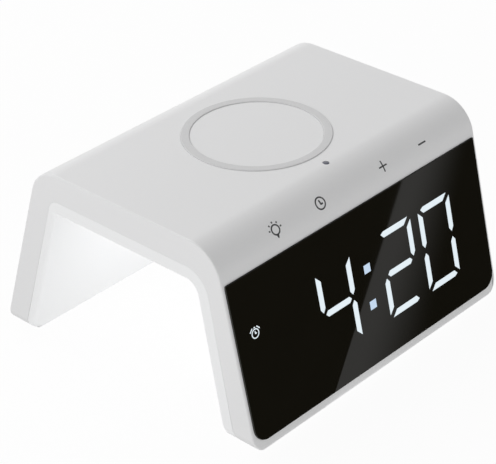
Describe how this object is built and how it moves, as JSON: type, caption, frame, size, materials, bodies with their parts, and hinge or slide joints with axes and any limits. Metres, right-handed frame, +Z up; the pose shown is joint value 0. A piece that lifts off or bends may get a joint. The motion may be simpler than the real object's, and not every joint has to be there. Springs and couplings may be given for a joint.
{
  "type": "digital alarm clock",
  "caption": "Bridge-shaped digital alarm clock with a charging platform on top, a black display over the sloped front and touch keys on the curved edge.",
  "frame": {"origin": "on the surface that the rubber feet stand on, under the middle of the whole clock", "axes": "+X along the clock, to the right as the display is read, +Y from the display to the power socket, +Z up"},
  "size_m": [0.115, 0.1066, 0.0649],
  "materials": {
    "shell_white": "fine satin",
    "liner_white": "fine satin",
    "window_black": "polished smoked acrylic",
    "tape_black": "foam tape",
    "film_grey": "translucent film",
    "block_black": "moulded",
    "lens_lit": "lit bluish white",
    "lens_dark": "unlit lens",
    "led_white": "light emitting diode",
    "board_green": "solder mask",
    "chip_black": "moulded package",
    "foam_grey": "conductive foam",
    "pipe_clear": "polished light pipe",
    "connector_ivory": "moulded",
    "ribbon_white": "flat cable",
    "silicone_white": "silicone",
    "copper": "enamelled copper",
    "ferrite": "sintered",
    "tray_ivory": "moulded",
    "can_silver": "drawn can",
    "socket_steel": "stamped",
    "buzzer_black": "moulded",
    "wire_red": "insulated wire",
    "cell_steel": "plated steel",
    "contact_gold": "plated spring strip",
    "cap_white": "fine satin",
    "screw_steel": "black zinc",
    "foot_grey": "soft rubber"
  },
  "bodies": {
    "case": {"outer_shell": "shell_white", "inner_shell": "liner_white", "display_window": "window_black", "window_tape": "tape_black", "diffuser_film": "film_grey", "reflector_block": "block_black", "lit_segments": "lens_lit", "dark_segments": "lens_dark", "alarm_symbol": "lens_lit", "segment_leds": "led_white", "display_board": "board_green", "controller_chip": "chip_black", "touch_board": "board_green", "touch_pads": "foam_grey", "indicator_led": "led_white", "indicator_light_pipe": "pipe_clear", "ribbon_sockets": "connector_ivory", "display_ribbon": "ribbon_white", "touch_ribbon": "ribbon_white", "grip_ring": "silicone_white", "charging_coil": "copper", "ferrite_disc": "ferrite", "coil_tray": "tray_ivory", "coil_leads": "copper", "main_board": "board_green", "charger_chip": "chip_black", "power_inductor": "ferrite", "capacitors": "can_silver", "power_socket_shell": "socket_steel", "power_socket_tongue": "chip_black", "buzzer": "buzzer_black", "buzzer_leads": "wire_red", "coin_cell": "cell_steel", "positive_contact": "contact_gold", "negative_contact": "contact_gold", "battery_leads": "wire_red", "board_screws": "screw_steel", "case_screws": "screw_steel", "rubber_feet": "foot_grey"},
    "cap": {"battery_cap": "cap_white"}
  },
  "joints": [
    {"name": "battery_cap_turn", "type": "hinge", "parent": "case", "child": "cap", "pos_m": [0.03956, 0, 0.051], "axis": [0, 0, -1], "range_deg": [0, 60]}
  ]
}
